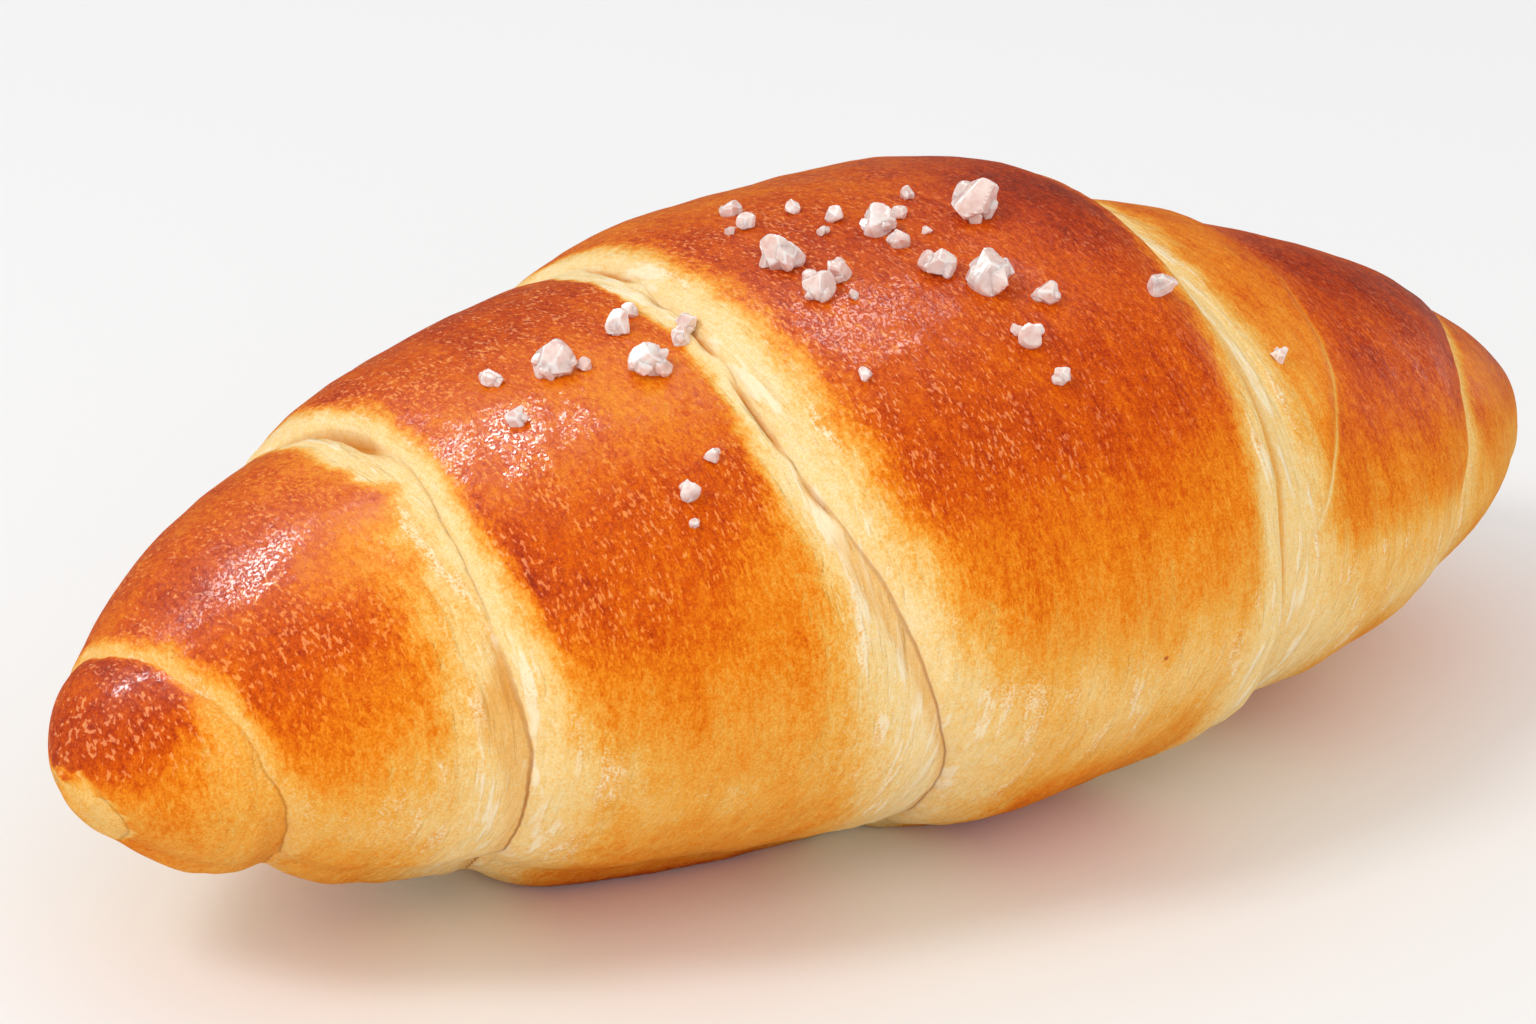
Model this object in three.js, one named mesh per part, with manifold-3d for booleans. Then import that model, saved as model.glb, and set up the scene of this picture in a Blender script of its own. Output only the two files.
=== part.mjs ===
// Salt bread roll: a long triangle of dough rolled up from its wide end and
// baked in one piece, with coarse salt on its crown.
// Millimetres, +Z up, +X along the roll.  The front of the roll faces -Y.
// A point of the crust is named by its place along the roll (mm) and by its
// angle round the roll, counted in turns from the underside over the back.

import * as THREE from 'three';
import { mergeVertices } from 'three/addons/utils/BufferGeometryUtils.js';
import Module from 'manifold-3d';

// ---- overall form --------------------------------------------------------
const LENGTH = 146.6;
const HALF_WIDTH = 32.0;          // of the innermost spindle, at the middle
const HALF_HEIGHT = 20.5;         // of the innermost spindle, at the middle
const AXIS_HEIGHT = 25.2;         // of the roll's axis over the table, middle
const LEFT_TIP = { axis: 18.8, bend: 2.69, full: 1.54, taper: 0.553, blunt: 1, cap: 400 };
const RIGHT_TIP = { axis: 19.2, bend: 1.12, full: 2.66, taper: 0.894, blunt: 0.962, cap: 20 };
const SHOULDER_LIFT = { high: 1.62, at: 15.0, wide: 9.87 };
const SAG = 0.12;                 // the underside sags by this share
const BASE_FLAT = 0.15;           // and is pressed flat by this share more
const BASE_ROUND = 0.1;           // rounding where the underside leaves the table

// ---- the rolled strip ----------------------------------------------------
// Edges of the strip: [turn, mm along the roll].  Turn 0 is the wide end at
// the core and turn 4 the end that is tucked under.
const LEFT_EDGE = [
  [0, -73.2], [0.5, -72.9], [0.75, -72.0], [0.9, -69.9], [1.15, -68.8],
  [1.45, -66.9], [1.7, -62.8], [1.9, -59.3], [2.15, -53.5], [2.39, -44.8],
  [2.45, -43.3], [2.5, -43.2], [2.63, -45.4], [2.85, -43.8], [3.0, -39.0],
  [3.2, -28.0], [3.425, -16.1], [3.46, -16.5], [3.5, -17.8], [3.55, -19.1],
  [3.6, -19.9], [3.72, -15.9], [3.85, -9.4], [4.0, -4.0],
];
const RIGHT_EDGE = [
  [0, 73.2], [0.5, 72.2], [1.0, 70.0], [1.3, 67.0], [1.54, 60.6],
  [1.69, 50.8], [1.78, 47.0], [2.0, 46.2], [2.3, 42.0], [2.52, 38.9],
  [2.6, 36.4], [2.7, 28.2], [2.76, 23.0], [2.85, 21.5], [3.1, 24.5],
  [3.42, 26.9], [3.48, 25.6], [3.56, 22.7], [3.62, 21.4], [3.67, 20.6],
  [3.74, 19.3], [3.8, 20.1], [3.85, 21.8], [4.0, 15.0],
];
// Step height of each turn over the one below it, at its left and right edge.
const TURN_STEP = [
  { left: 0.4, right: 0.3 }, { left: 0.9, right: 0.9 },
  { left: 1.15, right: 0.8 }, { left: 1.4, right: 2.0 },
];
const LIP_LEFT = 10.0;            // width over which a left edge rounds up
const LIP_RIGHT = 5.0;            // the same at a right edge
// Crease beside each edge: [depth, width].
const CREASE_LEFT = [[0.3, 3], [0.6, 3], [0.8, 3], [0.6, 3]];
const CREASE_RIGHT = [[0, 3], [0.4, 3], [0, 3], [0.4, 6]];
// How far each band between two seams swells over its edges, tip to tip.
const BAND_SWELL = [1.27, 0.1, 0.15, 0.16, -0.42, -0.08];

// ---- mesh ----------------------------------------------------------------
const ROWS = 48;                  // round the roll
const BAND_COLUMNS = [10, 13, 14, 18, 14, 12];
const UNDER_TURNS = 0.075;        // half width of the strip along the underside

// ---- salt ----------------------------------------------------------------
// Grains on the crown: [mm along, degrees from the top towards the front, size].
const GRAINS = [
  [8.9, 9, 4.1], [3.7, 24, 3.9], [-9.6, 7, 3.5], [-30.5, 7, 3.3],
  [-24.7, 16, 3.1], [0.4, 6, 2.9], [-9.5, 16, 2.7], [0.8, 19, 2.7],
  [17.4, 33, 2.4], [-6.7, 14, 2.3], [7.0, 30, 2.2], [-23.4, 4, 2.2],
  [3.0, 36, 2.1], [-18.9, 9, 2.1], [-36.0, 15, 2.0], [3.2, 44, 1.9],
  [0.4, 11, 1.8], [-20.5, 12, 1.8], [-28.8, 43, 1.8], [-34.7, 3, 1.7],
  [-5.9, -13, 1.7], [-1.2, 0, 1.6], [-7.3, -6, 1.6], [28.1, 44, 1.5],
  [3.7, 4, 1.4], [-2.6, -6, 1.4], [-21.5, 1, 1.4], [-25.6, 38, 1.4],
  [6.2, 0, 1.3], [-28.5, 10, 1.3], [-11.7, 34, 1.2], [-7.3, 19, 1.1],
  [2.3, 34, 1.1], [-3.6, 3, 1.0], [-8.9, -6, 1.0], [3.6, 10, 0.9],
  [-29.6, 49, 0.9],
];
const GRAIN_SUNK = 0.2;           // share of a grain's size under the crust
const GRAIN_SEED = 41;

const CRUST_COLOUR = 0xc87832;
const TAU = 2 * Math.PI;

function clamp(value, low, high) {
  return Math.min(high, Math.max(low, value));
}

function smooth(low, high, value) {
  const u = clamp((value - low) / (high - low), 0, 1);
  return u * u * (3 - 2 * u);
}

// A seeded draw, 0 to 1.
function makeDraw(seed) {
  let state = seed;
  return () => {
    state = (state * 1664525 + 1013904223) % 4294967296;
    return state / 4294967296;
  };
}

// Smooth curve through an edge's stations that never overshoots them.
function makeEdge(stations) {
  const last = stations.length - 1;
  const widths = [];
  const slopes = [];
  for (let i = 0; i < last; i += 1) {
    widths.push(stations[i + 1][0] - stations[i][0]);
    slopes.push((stations[i + 1][1] - stations[i][1]) / widths[i]);
  }
  const tangents = [slopes[0]];
  for (let i = 1; i < last; i += 1) {
    const before = 2 * widths[i] + widths[i - 1];
    const after = widths[i] + 2 * widths[i - 1];
    const steady = slopes[i - 1] * slopes[i] > 0;
    const blend = (before + after) / (before / slopes[i - 1] + after / slopes[i]);
    tangents.push(steady ? blend : 0);
  }
  tangents.push(slopes[last - 1]);
  return (turn) => {
    let i = 0;
    while (i < last - 1 && turn >= stations[i + 1][0]) {
      i += 1;
    }
    const u = (turn - stations[i][0]) / widths[i];
    const v = 1 - u;
    return (1 + 2 * u) * v * v * stations[i][1]
      + u * v * v * widths[i] * tangents[i]
      + u * u * (3 - 2 * u) * stations[i + 1][1]
      - u * u * v * widths[i] * tangents[i + 1];
  };
}

const leftEdge = makeEdge(LEFT_EDGE);
const rightEdge = makeEdge(RIGHT_EDGE);

// Quarter round from 0 at an edge up to 1 at `width` inside it.
function lip(inside, width) {
  const u = 1 - clamp(inside / width, 0, 1);
  return Math.sqrt(1 - u * u);
}

// Groove along an edge: sharp on the side of the lip, wide on the other side.
function crease(inside, width) {
  return inside < 0 ? Math.exp(inside / width) : Math.exp(-((inside / 2.5) ** 2));
}

// Both edges of every turn at a given angle; a turn that passes under the next
// one ends at the next one's edge.
function edgesAt(angle) {
  const left = [0, 1, 2, 3].map((k) => leftEdge(k + angle));
  const right = [0, 1, 2, 3].map((k) => rightEdge(k + angle));
  for (let k = 2; k >= 0; k -= 1) {
    right[k] = Math.max(right[k], right[k + 1] + 0.01);
  }
  return { left, right };
}

// Height of the rolled layers over the innermost spindle.
function layers(along, edges) {
  let height = 0;
  const across = clamp((along + 30) / 60, 0, 1);
  TURN_STEP.forEach((step, k) => {
    const fromLeft = along - edges.left[k];
    const fromRight = edges.right[k] - along;
    const thick = step.left + (step.right - step.left) * across;
    height += thick * lip(fromLeft, LIP_LEFT) * lip(fromRight, LIP_RIGHT);
    height -= CREASE_LEFT[k][0] * crease(fromLeft, CREASE_LEFT[k][1]);
    height -= CREASE_RIGHT[k][0] * crease(fromRight, CREASE_RIGHT[k][1]);
  });
  const seams = [
    -LENGTH / 2, edges.left[1], edges.left[2], edges.left[3],
    edges.right[3], edges.right[1], LENGTH / 2,
  ];
  BAND_SWELL.forEach((swell, j) => {
    const u = clamp((along - seams[j]) / (seams[j + 1] - seams[j]), 0, 1);
    height += swell * 4 * u * (1 - u);
  });
  return height;
}

// The table under the roll, with a rounded start.
function restOnTable(z) {
  if (z < -BASE_ROUND) {
    return 0;
  }
  return z > BASE_ROUND ? z : (z + BASE_ROUND) ** 2 / (4 * BASE_ROUND);
}

function crustPoint(along, turn, edges) {
  // `blunt` and `cap` close the tip with a rounder end than the taper alone.
  const tip = along < 0 ? LEFT_TIP : RIGHT_TIP;
  const reach = clamp(Math.abs(along) / (LENGTH / 2), 0, 1);
  const girth = Math.pow(1 - Math.pow(reach * tip.blunt, tip.full), tip.taper)
    * Math.sqrt(1 - Math.pow(reach, tip.cap));
  const lift = ((along - SHOULDER_LIFT.at) / SHOULDER_LIFT.wide) ** 2;
  const axis = tip.axis + (AXIS_HEIGHT - tip.axis) * (1 - Math.pow(reach, tip.bend))
    + SHOULDER_LIFT.high * Math.exp(-lift);
  const relief = clamp(girth / 0.5, 0, 1) * layers(along, edges);
  const wide = Math.max(0, HALF_WIDTH * girth + relief);
  const high = Math.max(0, HALF_HEIGHT * girth + relief);
  const down = Math.cos(turn * TAU);
  const press = 1 + SAG * smooth(0.35, 1, down) + BASE_FLAT * smooth(0.9, 1, down);
  return new THREE.Vector3(
    along,
    wide * Math.sin(turn * TAU),
    restOnTable(axis - high * down * press),
  );
}

// Seams the columns follow.  Along the underside they slide back by one turn.
function columnSeams(turn) {
  const near = UNDER_TURNS;
  const angle = clamp(turn, near, 1 - near);
  const here = edgesAt(angle);
  if (turn >= near && turn <= 1 - near) {
    return [here.left[1], here.left[2], here.left[3], here.right[3], here.right[1]];
  }
  const first = edgesAt(near);
  const final = edgesAt(1 - near);
  const u = turn < near ? (turn + near) / (2 * near) : (turn - 1 + near) / (2 * near);
  const mix = smooth(0, 1, u);
  return [1, 2, 3].map((k) => final.left[k] + (first.left[k] - final.left[k]) * mix)
    .concat([3, 1].map((k) => final.right[k] + (first.right[k] - final.right[k]) * mix));
}

function makeCrust() {
  const columns = BAND_COLUMNS.reduce((sum, n) => sum + n, 0);
  const points = [];
  for (let row = 0; row < ROWS; row += 1) {
    const turn = row / ROWS;
    const edges = edgesAt(turn);
    const seams = [-LENGTH / 2, ...columnSeams(turn), LENGTH / 2];
    BAND_COLUMNS.forEach((count, band) => {
      for (let i = 0; i < count; i += 1) {
        if (band + i > 0) {
          const share = (1 - Math.cos((Math.PI * i) / count)) / 2;
          const along = seams[band] + (seams[band + 1] - seams[band]) * share;
          points.push(crustPoint(along, turn, edges));
        }
      }
    });
  }
  const perRow = columns - 1;
  const faces = [];
  for (let row = 0; row < ROWS; row += 1) {
    const here = row * perRow;
    const next = ((row + 1) % ROWS) * perRow;
    for (let i = 0; i < perRow - 1; i += 1) {
      faces.push(here + i, next + i + 1, here + i + 1);
      faces.push(here + i, next + i, next + i + 1);
    }
    faces.push(here, points.length, next);
    faces.push(here + perRow - 1, next + perRow - 1, points.length + 1);
  }
  points.push(new THREE.Vector3(-LENGTH / 2, 0, LEFT_TIP.axis));
  points.push(new THREE.Vector3(LENGTH / 2, 0, RIGHT_TIP.axis));
  const geometry = new THREE.BufferGeometry().setFromPoints(points);
  geometry.setIndex(faces);
  return geometry;
}

// One rough lobe of a salt grain.
function makeLobe(size, draw) {
  const ball = new THREE.IcosahedronGeometry(0.5, 0);
  ball.deleteAttribute('normal');
  ball.deleteAttribute('uv');
  const lobe = mergeVertices(ball);
  const corner = new THREE.Vector3();
  for (let i = 0; i < lobe.attributes.position.count; i += 1) {
    corner.fromBufferAttribute(lobe.attributes.position, i);
    corner.multiplyScalar(size * (0.85 + 0.3 * draw()));
    lobe.attributes.position.setXYZ(i, corner.x, corner.y, corner.z);
  }
  lobe.rotateZ(TAU * draw());
  lobe.rotateX(TAU * draw());
  return lobe;
}

// Lobes of one grain, standing on the crust along its normal.
function makeGrain(along, turn, size, draw) {
  const at = crustPoint(along, turn, edgesAt(turn));
  const step = 0.4;
  const alongStep = crustPoint(along + step, turn, edgesAt(turn)).sub(at);
  const roundStep = crustPoint(along, turn + step / 160, edgesAt(turn + step / 160)).sub(at);
  const normal = alongStep.cross(roundStep).normalize();
  if (normal.dot(new THREE.Vector3(0, at.y, at.z - AXIS_HEIGHT)) < 0) {
    normal.negate();
  }
  const stand = new THREE.Quaternion().setFromUnitVectors(new THREE.Vector3(0, 0, 1), normal);
  const count = size > 2.5 ? 3 : size > 1.5 ? 2 : 1;
  const lobes = [];
  for (let i = 0; i < count; i += 1) {
    const spread = count === 1 ? 0 : 0.2 * size;
    const part = count === 1 ? 1 : 0.72;
    const way = TAU * (i / count + 0.15 * draw());
    const lobe = makeLobe(size * part, draw);
    const tall = count === 1 ? 0.85 : 1.05;
    lobe.scale(1, 1, tall);
    const lift = size * (0.5 * part * tall - GRAIN_SUNK);
    lobe.translate(spread * Math.cos(way), spread * Math.sin(way), lift);
    lobe.applyQuaternion(stand);
    lobe.translate(at.x, at.y, at.z);
    lobes.push(lobe);
  }
  return lobes;
}

function makeSalt() {
  const draw = makeDraw(GRAIN_SEED);
  const lobes = [];
  GRAINS.forEach(([along, degrees, size]) => {
    lobes.push(...makeGrain(along, 0.5 + degrees / 360, size, draw));
  });
  return lobes;
}

const wasm = await Module();
wasm.setup();

function toSolid(geometry) {
  return new wasm.Manifold(new wasm.Mesh({
    numProp: 3,
    vertProperties: new Float32Array(geometry.attributes.position.array),
    triVerts: new Uint32Array(geometry.index.array),
  }));
}

let solid = toSolid(makeCrust());
makeSalt().forEach((lobe) => {
  solid = solid.add(toSolid(lobe));
});

const fused = solid.getMesh();
const rollGeometry = new THREE.BufferGeometry();
rollGeometry.setAttribute('position', new THREE.BufferAttribute(fused.vertProperties, 3));
rollGeometry.setIndex(new THREE.BufferAttribute(fused.triVerts, 1));
rollGeometry.computeVertexNormals();

const roll = new THREE.Mesh(
  rollGeometry,
  new THREE.MeshStandardMaterial({ color: CRUST_COLOUR, roughness: 0.5 }),
);
roll.name = 'roll';

const group = new THREE.Group();
group.add(roll);

export default group;
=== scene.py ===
"""Salt bread roll: the looks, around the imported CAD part.

A point of the crust is named by its place along the roll (millimetres, +X)
and by its turn round the roll, 0 on the underside, 0.25 at the back, 0.5 on
top and 0.75 at the front.  Lengths are millimetres until a mesh is made.
"""
import math

import bpy
import numpy as np
from mathutils import Matrix, Vector


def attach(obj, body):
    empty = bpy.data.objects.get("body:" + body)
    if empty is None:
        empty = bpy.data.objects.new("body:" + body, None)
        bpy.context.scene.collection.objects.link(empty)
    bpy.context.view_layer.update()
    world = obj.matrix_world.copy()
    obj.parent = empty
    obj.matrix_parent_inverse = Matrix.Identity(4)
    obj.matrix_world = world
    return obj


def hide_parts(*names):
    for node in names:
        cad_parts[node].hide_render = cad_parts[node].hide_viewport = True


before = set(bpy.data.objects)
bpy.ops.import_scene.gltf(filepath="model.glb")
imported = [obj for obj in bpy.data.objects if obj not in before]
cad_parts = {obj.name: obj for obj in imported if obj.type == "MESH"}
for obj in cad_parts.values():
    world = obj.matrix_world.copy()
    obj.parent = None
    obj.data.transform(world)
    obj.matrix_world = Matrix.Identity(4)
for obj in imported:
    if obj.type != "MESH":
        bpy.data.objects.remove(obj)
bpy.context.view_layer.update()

MM = 0.001
TAU = 2 * math.pi

# ---- overall form, the same values as in the CAD part ----------------------
LENGTH = 146.6
HALF_WIDTH = 32.0
HALF_HEIGHT = 20.5
AXIS_HEIGHT = 25.2
LEFT_TIP = dict(axis=18.8, bend=2.69, full=1.54, taper=0.553, blunt=1.0, cap=400)
RIGHT_TIP = dict(axis=19.2, bend=1.12, full=2.66, taper=0.894, blunt=0.962, cap=20)
SHOULDER_LIFT = dict(high=1.62, at=15.0, wide=9.87)
SAG = 0.12                            # how far the underside is pressed down
BASE_FLAT = 0.15                      # and once more along its middle
BASE_ROUND = 0.45                     # height over which it rounds into the flat

LEFT_EDGE = [
    (0, -73.2), (0.5, -72.9), (0.75, -72.0), (0.9, -69.9), (1.15, -68.8),
    (1.45, -66.9), (1.7, -62.8), (1.9, -59.3), (2.15, -53.5), (2.39, -44.8),
    (2.45, -43.3), (2.5, -43.2), (2.63, -45.4), (2.85, -43.8), (3.0, -39.0),
    (3.2, -28.0), (3.425, -16.1), (3.46, -16.5), (3.5, -17.8), (3.55, -19.1),
    (3.6, -19.9), (3.72, -15.9), (3.85, -9.4), (4.0, -4.0),
]
RIGHT_EDGE = [
    (0, 73.2), (0.5, 72.2), (1.0, 70.0), (1.3, 67.0), (1.54, 60.6),
    (1.69, 50.8), (1.78, 47.0), (2.0, 46.2), (2.3, 42.0), (2.52, 38.9),
    (2.6, 36.4), (2.7, 28.2), (2.76, 23.0), (2.85, 21.5), (3.1, 24.5),
    (3.42, 26.9), (3.48, 25.6), (3.56, 22.7), (3.62, 21.4), (3.67, 20.6),
    (3.74, 19.3), (3.8, 20.1), (3.85, 21.8), (4.0, 15.0),
]
STEP_LEFT = [0.4, 0.9, 1.15, 1.4]     # thickness of each turn at its left edge
STEP_RIGHT = [0.3, 0.9, 0.8, 2.0]     # and at its right edge
STEP_BLEND = 30.0                     # from -30 to 30 mm one passes to the other
LIP_LEFT = 10.0                       # radius of a turn's quarter-round edge
LIP_RIGHT = 5.0
CREASE_LEFT = [(0.3, 3), (0.6, 3), (0.8, 3), (0.6, 3)]    # depth and outer width
CREASE_RIGHT = [(0, 3), (0.4, 3), (0, 3), (0.4, 6)]
CREASE_INNER = 2.5                    # width of a crease on the lip's side
BAND_SWELL = [1.27, 0.1, 0.15, 0.16, -0.42, -0.08]        # fullness of each band

# Slight wander of the edges: [waves in a turn, size in mm].
EDGE_WANDER = [(7.3, 0.12), (13.1, 0.06), (23.7, 0.035), (71.0, 0.02)]

# ---- finer form that only the looks have -----------------------------------
RIM_LEFT = [0.0, 0.12, 0.2, 0.2]      # height of the round rim along a lip
RIM_RIGHT = [0.0, 0.1, 0.16, 0.35]
RIM_LEFT_PLACE = (1.3, 1.0)           # its middle inside the edge, half width
RIM_RIGHT_PLACE = (1.0, 0.9)
TUCK_LEFT = [0.0, 0.15, 0.15, 0.15]   # how far a lip leans over its crease
TUCK_RIGHT = [0.0, 0.15, 0.0, 0.5]
TUCK_PLACE = (0.8, 0.6)
# Open slits and pockets under a lip: [turn of the strip, half length in turns,
# depth, half width in mm].
POCKETS_LEFT = [
    (2.437, 0.052, 2.0, 0.62), (2.69, 0.035, 0.4, 0.4),
    (3.451, 0.020, 1.1, 0.42), (3.497, 0.009, 0.4, 0.3), (3.538, 0.012, 1.0, 0.3),
    (3.590, 0.022, 1.0, 0.26), (3.640, 0.012, 0.6, 0.22),
]
# Stretches where a lip is baked onto the dough below: [turn, half length,
# height, half width in mm].
WELD_LEFT = [(2.60, 0.075, 0.35, 0.9), (3.53, 0.14, 0.42, 0.9)]
# Wider hollows beside a lip: [turn, half length, depth, half width in mm].
HOLLOW_LEFT = [(2.72, 0.09, 0.5, 1.8), (3.70, 0.06, 0.6, 1.4)]

# Swells of the baked skin, and wrinkles round the roll: [height, size, seed].
SKIN_SWELLS = [(0.15, 7.0, 3), (0.09, 3.1, 4), (0.045, 1.5, 5)]
WRINKLES = [(0.13, 1.9, 6), (0.08, 1.0, 7)]
WRINKLE_STRETCH = (1.0, 0.16, 0.16)

# The crust's grid: rows round the roll and columns across each band.
ROWS = 360
BAND_COLUMNS = [22, 32, 42, 62, 32, 40, 34]
TIP_GAP = 0.02                        # first gap between columns at a tip,
SEAM_GAP = 0.15                       # and at a seam, as a share of the widest
UNDER_TURNS = 0.075                   # where the columns slide to the next turn
UNDER_BLEND = 0.055                   # where the last turn meets the first

# ---- salt ------------------------------------------------------------------
# Grains: [place along, degrees from the top towards the front, size in mm].
GRAINS = [
    (8.9, 9, 4.1), (3.7, 24, 3.9), (-9.6, 7, 3.5), (-30.5, 7, 3.3),
    (-24.7, 16, 3.1), (0.4, 6, 2.9), (-9.5, 16, 2.7), (0.8, 19, 2.7),
    (17.4, 33, 2.4), (-6.7, 14, 2.3), (7.0, 30, 2.2), (-23.4, 4, 2.2),
    (3.0, 36, 2.1), (-18.9, 9, 2.1), (-36.0, 15, 2.0), (3.2, 44, 1.9),
    (0.4, 11, 1.8), (-20.5, 12, 1.8), (-28.8, 43, 1.8), (-34.7, 3, 1.7),
    (-5.9, -13, 1.7), (-1.2, 0, 1.6), (-7.3, -6, 1.6), (28.1, 44, 1.5),
    (3.7, 4, 1.4), (-2.6, -6, 1.4), (-21.5, 1, 1.4), (-25.6, 38, 1.4),
    (6.2, 0, 1.3), (-28.5, 10, 1.3), (-11.7, 34, 1.2), (-7.3, 19, 1.1),
    (2.3, 34, 1.1), (-3.6, 3, 1.0), (-8.9, -6, 1.0), (3.6, 10, 0.9),
    (-29.6, 49, 0.9),
]
GRAIN_SEED = 42
CRYSTAL_PLANES = 12
CRYSTAL_REACH = (0.33, 0.47)          # how far out the planes are, to the size
CRYSTAL_CORNER = 0.62                 # the farthest that a corner reaches
CRYSTAL_CRISP = 90                    # power of the mean: higher is sharper


# ---- shared maths ----------------------------------------------------------
def smooth(low, high, value):
    """Eases from 0 at low to 1 at high: 3u^2 - 2u^3."""
    u = np.clip((value - low) / (high - low), 0, 1)
    return u * u * (3 - 2 * u)


def bell(value, wide):
    """A bump of height 1 and half width `wide`: exp(-(value / wide)^2)."""
    return np.exp(-(value / wide) ** 2)


LATTICE_VALUES = 4096
LATTICE_PRIMES = (73856093, 19349663, 83492791)


def lumps(points, size, seed):
    """Smooth random swells between -1 and 1 that are `size` apart: seeded
    values on a cubic lattice, eased together along the three axes."""
    table = np.random.default_rng(seed).uniform(-1, 1, LATTICE_VALUES)
    scaled = points / size
    cell = np.floor(scaled).astype(np.int64)
    part = scaled - cell
    part = part * part * (3 - 2 * part)
    total = 0
    for corner in np.ndindex(2, 2, 2):
        spread = (cell + corner) * LATTICE_PRIMES
        key = spread[..., 0] ^ spread[..., 1] ^ spread[..., 2]
        weight = np.prod(np.where(corner, part, 1 - part), axis=-1)
        total = total + weight * table[key & (LATTICE_VALUES - 1)]
    return total


def edge_curve(stations, phase):
    """Smooth curve through an edge's stations that never overshoots them
    (cubic pieces, slopes by the harmonic mean), plus a slight wander made of
    four sines."""
    turn, place = np.array(stations, float).T
    gap = np.diff(turn)
    slope = np.diff(place) / gap
    before = 2 * gap[1:] + gap[:-1]
    after = gap[1:] + 2 * gap[:-1]
    steady = slope[:-1] * slope[1:] > 0
    inner = np.where(steady, (before + after) / (before / slope[:-1] + after / slope[1:]), 0)
    tangent = np.concatenate([slope[:1], inner, slope[-1:]])

    def curve(at):
        i = np.clip(np.searchsorted(turn, at, side="right") - 1, 0, len(gap) - 1)
        u = (at - turn[i]) / gap[i]
        v = 1 - u
        path = ((1 + 2 * u) * v * v * place[i] + u * v * v * gap[i] * tangent[i]
                + u * u * (3 - 2 * u) * place[i + 1] - u * u * v * gap[i] * tangent[i + 1])
        wander = sum(size * np.sin(TAU * rate * at + phase * rate) for rate, size in EDGE_WANDER)
        return path + wander * smooth(0.9, 1.3, at)

    return curve


left_edge = edge_curve(LEFT_EDGE, 1.0)
right_edge = edge_curve(RIGHT_EDGE, 2.3)


def lip(inside, width):
    """Quarter round from 0 at an edge up to 1 at `width` inside it."""
    u = 1 - np.clip(inside / width, 0, 1)
    return np.sqrt(1 - u * u)


def crease(inside, width):
    """Groove along an edge, sharp on the lip's side, wide on the other."""
    return np.where(inside < 0, np.exp(np.minimum(inside, 0) / width), bell(inside, CREASE_INNER))


def edges_at(turn):
    """Both edges of the four turns at an angle.  A turn that passes under the
    next one ends at the next one's edge."""
    left = [left_edge(k + turn) for k in range(4)]
    right = [right_edge(k + turn) for k in range(4)]
    for k in (2, 1, 0):
        right[k] = np.maximum(right[k], right[k + 1] + 0.01)
    return left, right


# ---- crust -----------------------------------------------------------------
def pocket_depth(turn, k, from_left):
    """Depth of the open pockets under left edge k: a flat-topped bell along
    the strip's own turns times a bell across it, centred on the low side."""
    total = 0
    for at, half, deep, wide in POCKETS_LEFT:
        length = np.exp(-((k + turn - at) / half) ** 4)
        total = total + deep * length * bell(from_left + wide, wide)
    return total * (from_left < 0)


def layers(along, turn, left, right):
    """Height of the rolled layers over the innermost spindle: for each turn a
    slab with quarter-round lips, less a crease beside each lip, plus a rim
    along the lip; then open pockets and hollows, and a swell on each band."""
    height = 0
    across = np.clip((along + STEP_BLEND) / (2 * STEP_BLEND), 0, 1)
    for k in range(4):
        from_left = along - left[k]
        from_right = right[k] - along
        thick = STEP_LEFT[k] + (STEP_RIGHT[k] - STEP_LEFT[k]) * across
        height = height + thick * lip(from_left, LIP_LEFT) * lip(from_right, LIP_RIGHT)
        height = height - CREASE_LEFT[k][0] * crease(from_left, CREASE_LEFT[k][1])
        height = height - CREASE_RIGHT[k][0] * crease(from_right, CREASE_RIGHT[k][1])
        for inside, high, (middle, wide) in ((from_left, RIM_LEFT[k], RIM_LEFT_PLACE),
                                             (from_right, RIM_RIGHT[k], RIM_RIGHT_PLACE)):
            height = height + high * bell(inside - middle, wide) * (inside > 0)
        if k > 1:
            below = from_left < 0
            height = height - pocket_depth(turn, k, from_left)
            for at, half, deep, wide in HOLLOW_LEFT:
                length = bell(k + turn - at, half)
                height = height - deep * length * bell(from_left + 1.0, wide) * below
            for at, half, high, wide in WELD_LEFT:
                length = bell((k + turn - at) ** 2, half ** 2)
                height = height + high * length * bell(from_left + 0.3, wide) * below
    seams = [-LENGTH / 2, left[1], left[2], left[3], right[3], right[1], LENGTH / 2]
    for j, swell in enumerate(BAND_SWELL):
        u = np.clip((along - seams[j]) / (seams[j + 1] - seams[j]), 0, 1)
        height = height + swell * 4 * u * (1 - u)
    return height


def apart(turn):
    """0 along the underside, where the last turn meets the first, and 1 from
    UNDER_BLEND turns away from it."""
    return smooth(0, UNDER_BLEND, np.minimum(turn, 1 - turn))


def joined(value, at_start, at_end, turn):
    """A value of the wound layers whose two ends meet along the underside:
    there it passes into the mean of what it is at turn 0 and at turn 1."""
    mean = (at_start + at_end) / 2
    return mean + (value - mean) * apart(turn)


def wound_layers(along, turn):
    """Height of the layers, joined along the underside."""
    heights = [layers(along, at, *edges_at(at)) for at in (turn, 0 * turn, 0 * turn + 1)]
    return joined(*heights, turn)


def fine_relief(rough, pale):
    """Small swells of the baked skin at three sizes, and wrinkles that run
    round the roll where the dough stayed pale."""
    skin = sum(high * lumps(rough, size, seed) for high, size, seed in SKIN_SWELLS)
    drawn = rough * WRINKLE_STRETCH
    wrinkle = sum(high * lumps(drawn, size, seed) for high, size, seed in WRINKLES)
    return skin + wrinkle * (0.35 + 0.9 * pale)


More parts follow.
